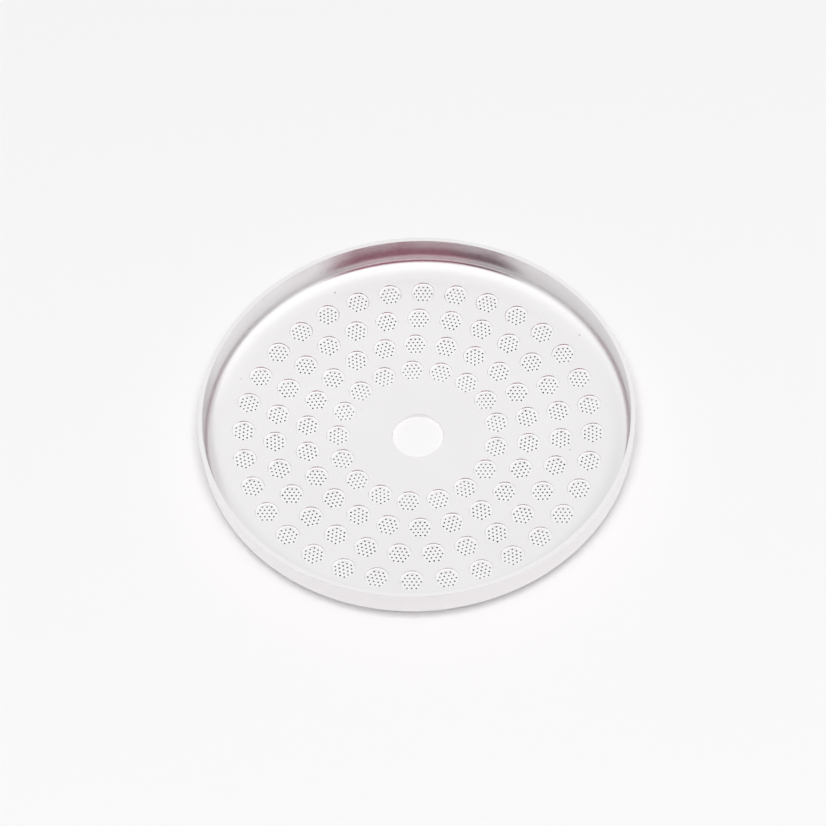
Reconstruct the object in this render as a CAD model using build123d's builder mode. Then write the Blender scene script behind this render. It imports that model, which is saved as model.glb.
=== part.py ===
"""Espresso shower screen: one drawn and etched disc of stainless steel sheet.

The screen is a shallow round pan. Its floor bulges slightly downwards and rises softly near its edge, a tighter
corner leads into a short wall that leans slightly outwards, and the wall ends in a plain cut lip. A hole in the
middle takes the screw that holds the screen to the brewing head. Four rings of round spots are etched into the
floor from above. What is left under each spot is a thin membrane, flush with the underside, where the fine
water holes lie.

Millimetres, +Z up, origin on the axis at the height of the lowest edge.
"""

import os
from math import asin, cos, degrees, radians, sin, sqrt, tan

from build123d import *

# The pan
outer_diameter = 57.0
overall_height = 6.5
sheet_thickness = 0.6
dome_radius = 280.0

# The soft rise between the floor and the corner, and the lean of the wall; slopes in degrees
rise_margin = 0.2
rise_radius = 6.8
rise_slope = 27.0
wall_lean = 2.5

# The screw hole
screw_hole_diameter = 6.8

# The etched spots, in rings that all start on the +X axis
spot_diameter = 3.1
membrane_thickness = 0.22
outer_ring_radius = 23.0
ring_spacing = 4.16
spots_per_ring = (32, 27, 22, 17)

# Radii and heights that follow from them; the underside is a sphere whose centre lies on the axis
wall_inner_radius = outer_diameter / 2 - sheet_thickness
screw_hole_radius = screw_hole_diameter / 2
dome_centre_height = sqrt(dome_radius**2 - screw_hole_radius**2)
floor_top_radius = dome_radius - sheet_thickness

# The rise begins just outside the outer spots, and ends where the corner begins
rise_start = outer_ring_radius + spot_diameter / 2 + rise_margin
rise_start_slope = degrees(asin(rise_start / floor_top_radius))
rise_centre_reach = floor_top_radius - rise_radius
corner_start = rise_centre_reach * sin(radians(rise_start_slope)) + rise_radius * sin(radians(rise_slope))
corner_start_height = (
    dome_centre_height
    - rise_centre_reach * cos(radians(rise_start_slope))
    - rise_radius * cos(radians(rise_slope))
)

# Radius of the corner that carries the section on to the inner edge of the lip
lean_per_height = tan(radians(wall_lean))
corner_reach = wall_inner_radius - corner_start - (overall_height - corner_start_height) * lean_per_height
corner_width = cos(radians(wall_lean)) - sin(radians(rise_slope))
corner_lift = cos(radians(rise_slope)) - sin(radians(wall_lean))
corner_radius = corner_reach / (corner_width - corner_lift * lean_per_height)


def floor_top_height(radius):
    """Height of the floor's upper face at a distance from the axis."""
    return dome_centre_height - sqrt(floor_top_radius**2 - radius**2)


def spot_plane(ring_radius, turn):
    """Plane of a spot's membrane, square to the domed floor, at a turn in degrees about the axis."""
    membrane_top_radius = dome_radius - membrane_thickness
    outward = Vector(cos(radians(turn)), sin(radians(turn)), 0)
    lean = asin(ring_radius / membrane_top_radius)
    up = Vector(0, 0, 1)
    normal = up * cos(lean) - outward * sin(lean)
    centre = up * dome_centre_height - normal * membrane_top_radius
    return Plane(origin=centre, x_dir=outward * cos(lean) + up * sin(lean), z_dir=normal)


# One plane for each spot, ring by ring from the outer one inwards
spot_planes = []
for ring, count in enumerate(spots_per_ring):
    ring_radius = outer_ring_radius - ring * ring_spacing
    for number in range(count):
        spot_planes.append(spot_plane(ring_radius, 360 * number / count))

with BuildPart() as shower_screen:
    # Sheet drawn to a pan: domed floor, rise, corner and leaning wall, turned about the axis
    with BuildSketch(Plane.XZ):
        with BuildLine():
            rise_foot = (rise_start, floor_top_height(rise_start))
            wall_end = (wall_inner_radius + sheet_thickness * lean_per_height, overall_height + sheet_thickness)
            floor_line = RadiusArc((0, floor_top_height(0)), rise_foot, -floor_top_radius)
            rise = JernArc(rise_foot, floor_line % 1, rise_radius, rise_slope - rise_start_slope)
            corner = JernArc(rise @ 1, rise % 1, corner_radius, 90 - wall_lean - rise_slope)
            Line(corner @ 1, wall_end)
            offset(amount=sheet_thickness, side=Side.RIGHT)
        make_face()
    revolve(axis=Axis.Z)

    # Lip trimmed level
    split(bisect_by=Plane.XY.offset(overall_height), keep=Keep.BOTTOM)

    # Plain round screw hole through the middle
    with BuildSketch(Plane.XY.offset(-sheet_thickness)):
        Circle(screw_hole_radius)
    extrude(amount=3 * sheet_thickness, mode=Mode.SUBTRACT)

    # Round recesses etched from above down to the membranes
    with BuildSketch(*spot_planes):
        Circle(spot_diameter / 2)
    extrude(amount=sheet_thickness, mode=Mode.SUBTRACT)

shower_screen.part.label = "shower_screen"

os.makedirs("parts", exist_ok=True)
export_step(shower_screen.part, "parts/shower_screen.step")
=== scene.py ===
"""Looks of the espresso shower screen: the etched steel pan on a pale table in soft light.

The screen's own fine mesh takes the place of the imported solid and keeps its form. It adds what the solid
leaves out: nineteen water holes through each membrane, the bend and the ledge in the wall of each etched
spot, and the broken edges of the sheet. Lengths of the screen are in millimetres and become metres when its
mesh is made. Lengths of the table, the cloths, the lamp and the camera's place are in metres.
"""

from math import asin, cos, pi, radians, sin, sqrt, tan

import bpy
import numpy as np
from mathutils import Matrix, Vector
from mathutils.geometry import delaunay_2d_cdt


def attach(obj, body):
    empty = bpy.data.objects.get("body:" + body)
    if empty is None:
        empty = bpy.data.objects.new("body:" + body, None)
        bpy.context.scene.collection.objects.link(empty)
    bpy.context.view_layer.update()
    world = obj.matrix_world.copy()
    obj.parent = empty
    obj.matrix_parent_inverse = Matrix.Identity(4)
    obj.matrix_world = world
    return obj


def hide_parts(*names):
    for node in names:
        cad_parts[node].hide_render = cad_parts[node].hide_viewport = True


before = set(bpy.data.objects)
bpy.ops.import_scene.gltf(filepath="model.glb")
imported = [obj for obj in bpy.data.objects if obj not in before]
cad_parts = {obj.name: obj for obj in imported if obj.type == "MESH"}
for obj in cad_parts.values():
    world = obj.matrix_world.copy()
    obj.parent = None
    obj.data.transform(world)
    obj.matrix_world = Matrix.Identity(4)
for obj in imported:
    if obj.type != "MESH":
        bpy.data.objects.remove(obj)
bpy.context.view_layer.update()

# Sizes of the solid; slopes in degrees
outer_radius = 28.5
overall_height = 6.5
sheet_thickness = 0.6
dome_radius = 280.0
rise_margin = 0.2
rise_radius = 6.8
rise_slope = 27.0
wall_lean = 2.5
screw_hole_radius = 3.4
spot_diameter = 3.1
membrane_thickness = 0.22
outer_ring_radius = 23.0
ring_spacing = 4.16
spots_per_ring = (32, 27, 22, 17)

# Sizes of what the mesh adds; a spot's edge, the bend in its wall and a cut edge of the sheet are radii
spot_mouth_radius = 1.56
membrane_radius = 1.33
spot_edge = 0.02
spot_bend = 0.04
ledge_slope = 30.0
cut_edge = 0.03

# Water holes: radius, pitch, rows beside the middle one, and the seed, spread and limits of their widths
water_hole_radius = 0.12
water_hole_pitch = 0.59
rows_beside_middle = 2
width_seed = 7
width_spread = 0.05
width_limits = (0.88, 1.12)

# Steps round each circle
turn_steps = 192
screw_hole_steps = 96
spot_steps = 36
water_hole_steps = 12

# Rows of faces across the soft rise, the corner, a cut edge, and a spot's edge and bend
rise_rows = 4
corner_rows = 14
edge_rows = 4
spot_edge_rows = 2
spot_bend_rows = 3

# Radii of the concentric spheres that the domed floor lies on, and the height of their centre
underside = dome_radius
membrane_top = dome_radius - membrane_thickness
floor_top = dome_radius - sheet_thickness
dome_centre = sqrt(dome_radius**2 - screw_hole_radius**2)
wall_inner_radius = outer_radius - sheet_thickness

# Slope of the floor where its soft rise begins, just outside the outer spots
rise_sine = (outer_ring_radius + spot_diameter / 2 + rise_margin) / floor_top
rise_cosine = sqrt(1 - rise_sine**2)

# A triangle whose middle is nearer to a hole's centre than this share of the hole's radius is left out
hole_share = 0.97

# Tolerance of the triangles, rounding for welds, scale, and the numbers of the two materials
plane_tolerance = 1e-7
weld_steps_per_mm = 1e5
metres_per_mm = 0.001
sheet_surface = 0
etched_surface = 1

# Steel: scales of its cloudy tone, fine grain and specks, and the limits between which the noises lie
cloud_scale = 90.0
grain_scale = 2600.0
speck_scale = 210.0
noise_limits = (0.3, 0.7)

# Darkest share of the tone, reach of a speck's dark middle and of its soft rim, its colour and the relief
cloud_share = 0.975
speck_limits = (0.012, 0.03)
speck_colour = (0.35, 0.33, 0.32, 1)
relief_height = 0.00002

# White and black as node colours
white = (1, 1, 1, 1)
black = (0, 0, 0, 1)

# Camera: turn from +X, rise from the table and roll in degrees, distance from its aim, and the aim's height
camera_turn = -96.36
camera_rise = 55.35
camera_roll = -3.72
camera_distance = 0.3899
aim_height = 0.00114

# Camera: sensor and lens in millimetres, shifts as shares of the picture, nearest and farthest view
sensor_width = 36
lens_length = 129.18
shift_right = -0.00567
shift_up = 0.02431
view_limits = (0.01, 50)

# Half the table's width, its colour and its roughness
table_reach = 3.0
table_colour = (0.92, 0.91, 0.915)
table_roughness = 0.9

# Distance of the cloths from the axis, and heights of the edges between foot, cloth and hem
flag_distance = 0.45
foot_low = 0.001
flag_low = 0.08
flag_high = 0.36
hem_high = 0.5

# Cloths: name, first and last turn from the camera in degrees, lower and upper edge, and glow
cloths = (
    ("purple", -24, 35, flag_low, flag_high, (0.26, 0.05, 0.1)),
    ("black", -50, -24, flag_low, flag_high, (0.11, 0.042, 0.06)),
    ("foot", -30, 22, foot_low, flag_low, (1.15, 0.78, 0.87)),
    ("hem", -50, 35, flag_high, hem_high, (0.68, 0.45, 0.51)),
    ("grey", 108, 150, flag_low, flag_high, (0.77, 0.75, 0.76)),
)

# Lamp: power in watts, width, distance out from the axis and height
lamp_power = 34.6
lamp_width = 1.0
lamp_out = 0.84
lamp_height = 2.0

# Strength of the sky that lights the table, and of the sky that the metal and the camera see
fill_strength = 0.385
sky_strength = 1.26

# Dimmer round patch of the sky behind the screen: strength, turn, rise, inner and outer radius in degrees
patch_strength = 1.06
patch_turn = 180
patch_rise = 55
patch_inner = 28
patch_outer = 42

# The sky darkens away from this direction: turn and rise in degrees, cosines at its ends, darkest share
gloom_turn = 90
gloom_rise = 82
gloom_limits = (0.1, 0.9)
gloom_share = 0.72


class Skin:
    """Faces of the mesh with a true normal at each corner; equal corners are welded at the end."""

    def __init__(self):
        self.points = []
        self.normals = []
        self.faces = []
        self.surfaces = []
        self.count = 0

    def add(self, points, normals, faces, surface):
        """Adds a patch; its faces are rows of indices into its own points."""
        faces = np.asarray(faces)
        self.points.append(points)
        self.normals.append(normals)
        self.faces.append(faces + self.count)
        self.surfaces.append(np.full(len(faces), surface))
        self.count += len(points)

    def to_object(self, name):
        """Welds equal points and returns the finished mesh object."""
        points = np.concatenate(self.points)
        normals = np.concatenate(self.normals)
        keys = np.round(points * weld_steps_per_mm).astype(np.int64)
        _, first, place = np.unique(keys, axis=0, return_index=True, return_inverse=True)
        place = place.reshape(-1)
        faces = []
        corner_normals = []
        for block in self.faces:
            turned = outward_faces(points, normals, block)
            faces.extend(place[turned].tolist())
            corner_normals.append(normals[turned].reshape(-1, 3))
        mesh = bpy.data.meshes.new(name)
        mesh.from_pydata((points[first] * metres_per_mm).tolist(), [], faces)
        mesh.polygons.foreach_set("material_index", np.concatenate(self.surfaces).astype(np.int32))
        mesh.shade_smooth()
        mesh.normals_split_custom_set(np.concatenate(corner_normals).tolist())
        mesh.update()
        item = bpy.data.objects.new(name, mesh)
        bpy.context.scene.collection.objects.link(item)
        return item


def outward_faces(points, normals, faces):
    """Turns round each face whose winding disagrees with its corner normals."""
    a = points[faces[:, 0]]
    b = points[faces[:, 1]]
    c = points[faces[:, 2]]
    facing = np.einsum("ij,ij->i", np.cross(b - a, c - a), normals[faces].sum(axis=1))
    return np.where((facing < 0)[:, None], faces[:, ::-1], faces)


def circle(radius, steps):
    """Points of a circle in the plane."""
    turns = np.arange(steps) * 2 * pi / steps
    return np.stack([radius * np.cos(turns), radius * np.sin(turns)], axis=1)


def ring_edges(start, steps):
    """Edges of a closed ring of points that starts at an index."""
    return [(start + step, start + (step + 1) % steps) for step in range(steps)]


def bands(rows, steps):
    """Four-sided faces between rows of points that go round in a number of steps."""
    here = np.arange(steps)
    after = (here + 1) % steps
    faces = []
    for row in range(rows - 1):
        low = row * steps
        high = low + steps
        faces.append(np.stack([low + here, low + after, high + after, high + here], axis=1))
    return np.concatenate(faces)


def triangles_between(loops, holes):
    """Triangles that fill closed loops of points in the plane, apart from round holes (centre, radius)."""
    points = np.concatenate(loops)
    edges = []
    start = 0
    for loop in loops:
        edges.extend(ring_edges(start, len(loop)))
        start += len(loop)
    corners = [Vector(point) for point in points.tolist()]
    inside_only = 1
    found = delaunay_2d_cdt(corners, edges, [], inside_only, plane_tolerance)
    sources = np.array([source[0] for source in found[3]])
    triangles = sources[np.array([face for face in found[2]])]
    middles = points[triangles].mean(axis=1)
    keep = np.ones(len(triangles), bool)
    for centre, radius in holes:
        keep &= np.hypot(*(middles - centre).T) > radius
    return points, triangles[keep]


def dome_points(directions, sphere):
    """Points on one of the floor's spheres, from unit directions seen from the spheres' centre."""
    return directions * sphere + np.array([0, 0, dome_centre])


def plan_directions(points, sphere):
    """Unit directions to points of a sphere that are given by x and y."""
    flat = points / sphere
    down = -np.sqrt(1 - (flat**2).sum(axis=1))
    return np.column_stack([flat, down])


class Spot:
    """One etched spot: its place on the dome and its own sideways directions."""

    def __init__(self, ring_radius, turn):
        lean = asin(ring_radius / dome_radius)
        self.down = np.array([cos(turn) * sin(lean), sin(turn) * sin(lean), -cos(lean)])
        self.outward = np.array([cos(turn) * cos(lean), sin(turn) * cos(lean), sin(lean)])
        self.along = np.array([-sin(turn), cos(turn), 0])

    def offsets(self, points):
        """Offsets in space of points given by their distances outwards and along the ring."""
        return points[:, :1] * self.outward + points[:, 1:] * self.along

    def directions(self, points):
        """Unit directions from the spheres' centre to such points."""
        rays = self.offsets(points) + self.down * dome_radius
        return rays / np.linalg.norm(rays, axis=1)[:, None]

    def sideways(self, points):
        """Unit vectors that point away from the spot's axis through such points."""
        rays = self.offsets(points)
        return rays / np.linalg.norm(rays, axis=1)[:, None]


def all_spots():
    """Every spot, ring by ring from the outer one inwards, each ring starting on the +X axis."""
    spots = []
    for ring, count in enumerate(spots_per_ring):
        for number in range(count):
            spots.append(Spot(outer_ring_radius - ring * ring_spacing, 2 * pi * number / count))
    return spots


def revolved(skin, profile, steps, surface):
    """Turns a profile of (radius, height, outward normal, upward normal) about the axis."""
    unit = circle(1, steps)
    points = []
    normals = []
    for radius, height, sideways, upwards in profile:
        points.append(np.column_stack([radius * unit, np.full(steps, height)]))
        normals.append(np.column_stack([sideways * unit, np.full(steps, upwards)]))
    skin.add(np.concatenate(points), np.concatenate(normals), bands(len(profile), steps), surface)


def arc(centre_radius, centre_height, radius, start, end, steps, sign=1):
    """Profile rows along an arc; angles in degrees from the outward direction, sign -1 for a hollow arc."""
    rows = []
    for angle in np.radians(np.linspace(start, end, steps + 1)):
        rows.append(
            (
                centre_radius + radius * cos(angle),
                centre_height + radius * sin(angle),
                sign * cos(angle),
                sign * sin(angle),
            )
        )
    return rows


def pan_wall(skin):
    """Soft rise, corner, leaning wall and cut lip, from the floor's upper face round to its underside."""
    steep = radians(rise_slope)
    lean = radians(wall_lean)
    rise_way = np.array([rise_sine, -rise_cosine])
    steep_way = np.array([sin(steep), -cos(steep)])
    wall_way = np.array([cos(lean), -sin(lean)])
    rise_centre = np.array([0, dome_centre]) + (floor_top - rise_radius) * rise_way

    # The corner's radius is the one that brings the leaning wall to the inner edge of the lip
    corner_start = rise_centre + rise_radius * steep_way
    reach = wall_inner_radius - corner_start[0] - (overall_height - corner_start[1]) * tan(lean)
    turn_way = wall_way - steep_way
    corner_radius = reach / (turn_way[0] - turn_way[1] * tan(lean))
    corner_centre = corner_start - corner_radius * steep_way

    start_angle = np.degrees(asin(rise_sine)) - 90
    steep_angle = rise_slope - 90
    top = overall_height - cut_edge
    profile = arc(*rise_centre, rise_radius, start_angle, steep_angle, rise_rows, -1)
    profile.extend(arc(*corner_centre, corner_radius, steep_angle, -wall_lean, corner_rows, -1)[1:])
    profile.append((wall_inner_radius - cut_edge * tan(lean), top, -cos(lean), sin(lean)))
    profile.extend(arc(wall_inner_radius + cut_edge, top, cut_edge, 180, 90, edge_rows)[1:])
    profile.extend(arc(outer_radius - cut_edge, top, cut_edge, 90, 0, edge_rows))
    outer_corner = corner_radius + sheet_thickness
    outer_rise = rise_radius + sheet_thickness
    profile.extend(arc(*corner_centre, outer_corner, -wall_lean, steep_angle, corner_rows))
    profile.extend(arc(*rise_centre, outer_rise, steep_angle, start_angle, rise_rows)[1:])
    revolved(skin, profile, turn_steps, sheet_surface)


def screw_hole_wall(skin):
    """Cut wall of the screw hole with its two broken edges."""
    edge_radius = screw_hole_radius + cut_edge
    top = dome_centre - sqrt(floor_top**2 - edge_radius**2)
    bottom = dome_centre - sqrt(underside**2 - edge_radius**2)
    upper = arc(edge_radius, top - cut_edge, cut_edge, 90, 180, edge_rows)
    lower = arc(edge_radius, bottom + cut_edge, cut_edge, 180, 270, edge_rows)
    revolved(skin, upper + lower, screw_hole_steps, sheet_surface)


def floor_face(skin, spots, sphere, spot_radius, up):
    """One face of the domed floor, from the screw hole to the rise, with a round gap for each spot."""
    inner = circle(screw_hole_radius + cut_edge, screw_hole_steps)
    outer = circle(sphere * rise_sine, turn_steps)
    rim = circle(spot_radius, spot_steps)
    loops = [inner, outer]
    holes = [(np.zeros(2), screw_hole_radius)]
    for spot in spots:
        loops.append(spot.directions(rim)[:, :2] * sphere)
        holes.append((spot.down[:2] * sphere, spot_radius * hole_share))
    points, triangles = triangles_between(loops, holes)
    directions = plan_directions(points, sphere)
    skin.add(dome_points(directions, sphere), -up * directions, triangles, sheet_surface)


def spot_profile():
    """Rows of a spot's wall from its mouth down, as an arc's, with heights from the spheres' centre."""
    ledge_width = spot_mouth_radius - membrane_radius
    foot = membrane_top - ledge_width * tan(radians(ledge_slope)) - spot_bend
    slope = radians(ledge_slope)
    edge_centre = (spot_mouth_radius + spot_edge, -floor_top - spot_edge)
    bend_centre = (spot_mouth_radius - spot_bend, -foot)
    profile = arc(*edge_centre, spot_edge, 90, 180, spot_edge_rows)
    profile.extend(arc(*bend_centre, spot_bend, 0, ledge_slope - 90, spot_bend_rows, -1))
    profile.append((membrane_radius, -membrane_top, -sin(slope), cos(slope)))
    profile.append((membrane_radius, -membrane_top, 0, 1))
    return profile


def water_hole_centres():
    """Nineteen places in rows of three, four, five, four and three, the rows lying along the spot's ring."""
    centres = []
    for row in range(-rows_beside_middle, rows_beside_middle + 1):
        places = 2 * rows_beside_middle + 1 - abs(row)
        for place in range(places):
            along = (place - (places - 1) / 2) * water_hole_pitch
            centres.append((row * water_hole_pitch * sqrt(3) / 2, along))
    return np.array(centres)


def spot_walls(skin, spots):
    """Edge, wall, bend and ledge of each spot, from the floor's upper face down to the membrane."""
    profile = spot_profile()
    faces = bands(len(profile), spot_steps)
    for spot in spots:
        points = []
        normals = []
        for radius, height, sideways, upwards in profile:
            flat = circle(radius, spot_steps)
            directions = spot.directions(flat)
            points.append(dome_points(directions, -height))
            normals.append(spot.sideways(flat) * sideways - directions * upwards)
        skin.add(np.concatenate(points), np.concatenate(normals), faces, etched_surface)


def membranes(skin, spots):
    """Both faces of each membrane and the walls of its water holes."""
    centres = water_hole_centres()
    rim = circle(membrane_radius, spot_steps)
    small = circle(water_hole_radius, water_hole_steps)
    loops = [rim] + [centre + small for centre in centres]
    holes = [(centre, water_hole_radius * hole_share) for centre in centres]
    _, triangles = triangles_between(loops, holes)
    chance = np.random.default_rng(width_seed)
    ring = bands(2, water_hole_steps)
    for spot in spots:
        widths = chance.normal(1, width_spread, len(centres)).clip(*width_limits)
        rings = [centre + small * width for centre, width in zip(centres, widths)]
        directions = spot.directions(np.concatenate([rim] + rings))
        upper = dome_points(directions, membrane_top)
        lower = dome_points(directions, underside)
        skin.add(upper, -directions, triangles, etched_surface)
        skin.add(lower, directions, triangles, sheet_surface)
        inwards = -spot.sideways(small)
        for number in range(len(centres)):
            start = spot_steps + number * water_hole_steps
            span = slice(start, start + water_hole_steps)
            both = np.concatenate([upper[span], lower[span]])
            skin.add(both, np.concatenate([inwards, inwards]), ring, etched_surface)


def shower_screen():
    """The whole screen as one closed mesh."""
    skin = Skin()
    spots = all_spots()
    pan_wall(skin)
    screw_hole_wall(skin)
    floor_face(skin, spots, floor_top, spot_mouth_radius + spot_edge, 1)
    floor_face(skin, spots, underside, membrane_radius, -1)
    spot_walls(skin, spots)
    membranes(skin, spots)
    return skin.to_object("etched_screen")


def node(tree, kind, place, **values):
    """Adds a shader node at a place and sets its named inputs or properties."""
    item = tree.nodes.new(kind)
    item.location = place
    for name, value in values.items():
        key = name.replace("_", " ")
        if hasattr(item, name):
            setattr(item, name, value)
        else:
            item.inputs[key].default_value = value
    return item


def ramp(tree, place, source, limits, colours):
    """Adds a ramp from one colour to another between two limits of a value, and returns its colour."""
    item = node(tree, "ShaderNodeValToRGB", place)
    for element, position, colour in zip(item.color_ramp.elements, limits, colours):
        element.position = position
        element.color = colour
    tree.links.new(source, item.inputs["Fac"])
    return item.outputs["Color"]


def mapped(tree, place, source, limits, results, **values):
    """Adds a node that carries a value between two limits over to two results, and returns the result."""
    item = node(tree, "ShaderNodeMapRange", place, **values)
    for ends, name in ((limits, "From"), (results, "To")):
        item.inputs[name + " Min"].default_value = ends[0]
        item.inputs[name + " Max"].default_value = ends[1]
    tree.links.new(source, item.inputs["Value"])
    return item.outputs["Result"]


def steel(name, tint, roughness, roughness_spread, bump):
    """Stainless steel whose colour, roughness and relief vary over the surface."""
    material = bpy.data.materials.new(name)
    material.use_nodes = True
    tree = material.node_tree
    shader = tree.nodes["Principled BSDF"]
    shader.inputs["Metallic"].default_value = 1
    place = node(tree, "ShaderNodeTexCoord", (-1300, 0))
    cloud = node(tree, "ShaderNodeTexNoise", (-1050, 250), Scale=cloud_scale, Detail=3.0, Roughness=0.55)
    grain = node(tree, "ShaderNodeTexNoise", (-1050, -50), Scale=grain_scale, Detail=2.0, Roughness=0.6)
    specks = node(tree, "ShaderNodeTexVoronoi", (-1050, -350), Scale=speck_scale, Randomness=1.0)
    for texture in (cloud, grain, specks):
        tree.links.new(place.outputs["Object"], texture.inputs["Vector"])

    dark = [cloud_share * part for part in tint] + [1]
    light = list(tint) + [1]
    colour = ramp(tree, (-780, 300), cloud.outputs["Fac"], noise_limits, (dark, light))

    # A few small dark specks lie scattered over the sheet
    dots = ramp(tree, (-780, -350), specks.outputs["Distance"], speck_limits, (white, black))
    speck_mix = node(tree, "ShaderNodeMix", (-450, 300), data_type="RGBA")
    speck_mix.inputs["B"].default_value = speck_colour
    tree.links.new(dots, speck_mix.inputs["Factor"])
    tree.links.new(colour, speck_mix.inputs["A"])
    tree.links.new(speck_mix.outputs["Result"], shader.inputs["Base Color"])

    spread = (roughness - roughness_spread, roughness + roughness_spread)
    dullness = mapped(tree, (-450, 0), grain.outputs["Fac"], noise_limits, spread)
    tree.links.new(dullness, shader.inputs["Roughness"])

    relief = node(tree, "ShaderNodeBump", (-450, -300), Strength=bump, Distance=relief_height)
    tree.links.new(grain.outputs["Fac"], relief.inputs["Height"])
    tree.links.new(relief.outputs["Normal"], shader.inputs["Normal"])
    return material


def dull_surface(name, colour):
    """Surface of a stage piece without any shine; returns its material and its shader."""
    material = bpy.data.materials.new(name)
    material.use_nodes = True
    shader = material.node_tree.nodes["Principled BSDF"]
    shader.inputs["Base Color"].default_value = colour
    shader.inputs["Specular IOR Level"].default_value = 0.0
    return material, shader


def glowing_surface(name, glow):
    """Even surface of a stage piece whose brightness doesn't hang on the light."""
    material, shader = dull_surface(name, black)
    shader.inputs["Emission Color"].default_value = (*glow, 1)
    shader.inputs["Emission Strength"].default_value = 1.0
    return material


def flat_card(name, corners, material):
    """A flat four-cornered stage piece."""
    mesh = bpy.data.meshes.new(name)
    mesh.from_pydata(corners, [], [(0, 1, 2, 3)])
    mesh.materials.append(material)
    item = bpy.data.objects.new(name, mesh)
    bpy.context.scene.collection.objects.link(item)
    return item


def beside(turn, distance):
    """Place in plan, at a turn from the camera in degrees and a distance from the axis."""
    angle = radians(camera_turn + turn)
    return distance * cos(angle), distance * sin(angle)


def direction(turn, rise):
    """Unit direction, at a turn from the camera and a rise from the table in degrees."""
    return (*beside(turn, cos(radians(rise))), sin(radians(rise)))


def place_camera():
    """Camera at the photograph's viewing angle."""
    roll = radians(camera_roll)
    back = Vector(direction(0, camera_rise))
    right = Vector(direction(90, 0))
    up = back.cross(right)
    rolled_right = right * cos(roll) + up * sin(roll)
    rolled_up = up * cos(roll) - right * sin(roll)
    data = bpy.data.cameras.new("camera")
    data.sensor_width = sensor_width
    data.lens = lens_length
    data.shift_x = shift_right
    data.shift_y = shift_up
    data.clip_start = view_limits[0]
    data.clip_end = view_limits[1]
    camera = bpy.data.objects.new("camera", data)
    turn = Matrix((rolled_right, rolled_up, back)).transposed().to_4x4()
    camera.matrix_world = Matrix.Translation(back * camera_distance + Vector((0, 0, aim_height))) @ turn
    bpy.context.scene.collection.objects.link(camera)
    bpy.context.scene.camera = camera


def soft_sky():
    """White sky: bright to the camera and the metal, with its dimmer patch and sides, and a soft fill."""
    world = bpy.data.worlds.new("soft_sky")
    bpy.context.scene.world = world
    world.use_nodes = True
    tree = world.node_tree
    tree.nodes.clear()
    output = node(tree, "ShaderNodeOutputWorld", (800, 0))
    mix = node(tree, "ShaderNodeMixShader", (600, 0))
    path = node(tree, "ShaderNodeLightPath", (200, 400))
    direct = node(tree, "ShaderNodeMath", (400, 300), operation="MAXIMUM")
    fill = node(tree, "ShaderNodeBackground", (400, 0), Color=white, Strength=fill_strength)
    seen = node(tree, "ShaderNodeBackground", (400, -200), Color=white)
    place = node(tree, "ShaderNodeTexCoord", (-400, -200))
    strength = node(tree, "ShaderNodeMath", (200, -300), operation="MULTIPLY")

    # How far a direction lies from the patch and from the brightest sky, each as a cosine
    patch_limits = (cos(radians(patch_outer)), cos(radians(patch_inner)))
    parts = (
        (-200, direction(patch_turn, patch_rise), patch_limits, (sky_strength, patch_strength)),
        (-500, direction(gloom_turn, gloom_rise), gloom_limits, (gloom_share, 1)),
    )
    for number, (row, axis, limits, results) in enumerate(parts):
        toward = node(tree, "ShaderNodeVectorMath", (-200, row), operation="DOT_PRODUCT")
        toward.inputs[1].default_value = axis
        tree.links.new(place.outputs["Generated"], toward.inputs[0])
        cosine = toward.outputs["Value"]
        part = mapped(tree, (0, row), cosine, limits, results, interpolation_type="SMOOTHSTEP")
        tree.links.new(part, strength.inputs[number])

    tree.links.new(strength.outputs["Value"], seen.inputs["Strength"])
    tree.links.new(path.outputs["Is Camera Ray"], direct.inputs[0])
    tree.links.new(path.outputs["Is Glossy Ray"], direct.inputs[1])
    tree.links.new(direct.outputs["Value"], mix.inputs["Fac"])
    tree.links.new(fill.outputs["Background"], mix.inputs[1])
    tree.links.new(seen.outputs["Background"], mix.inputs[2])
    tree.links.new(mix.outputs["Shader"], output.inputs["Surface"])


def pale_table():
    """Flat pale table under the screen."""
    material, shader = dull_surface("table_top", (*table_colour, 1))
    shader.inputs["Roughness"].default_value = table_roughness
    signs = ((-1, -1), (1, -1), (1, 1), (-1, 1))
    corners = [(x * table_reach, y * table_reach, 0) for x, y in signs]
    flat_card("table", corners, material)


def upright_flag(name, start, end, low, high, material):
    """An upright cloth round the table, between two turns from the camera, that only the metal shows."""
    x0, y0 = beside(start, flag_distance)
    x1, y1 = beside(end, flag_distance)
    corners = [(x0, y0, low), (x1, y1, low), (x1, y1, high), (x0, y0, high)]
    flag = flat_card(name, corners, material)
    flag.visible_camera = False
    flag.visible_diffuse = False
    flag.visible_shadow = False


def soft_lamp():
    """Wide soft lamp high over the camera's side of the table, turned towards the screen."""
    data = bpy.data.lights.new("soft_lamp", "AREA")
    data.size = lamp_width
    data.energy = lamp_power
    place = Vector((*beside(0, lamp_out), lamp_height))
    lamp = bpy.data.objects.new("soft_lamp", data)
    lamp.matrix_world = Matrix.Translation(place) @ place.to_track_quat("Z", "Y").to_matrix().to_4x4()
    bpy.context.scene.collection.objects.link(lamp)
    lamp.visible_glossy = False


screen = shower_screen()
rolled = steel("rolled_steel", (0.848, 0.835, 0.84), roughness=0.24, roughness_spread=0.03, bump=0.25)
etched = steel("etched_steel", (0.915, 0.905, 0.91), roughness=0.28, roughness_spread=0.04, bump=0.5)
screen.data.materials.append(rolled)
screen.data.materials.append(etched)
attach(screen, "root")
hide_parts("shower_screen")

place_camera()
soft_sky()
pale_table()
for name, start, end, low, high, glow in cloths:
    upright_flag(name + "_flag", start, end, low, high, glowing_surface(name + "_cloth", glow))
soft_lamp()

scene = bpy.context.scene
scene.view_settings.view_transform = "Standard"
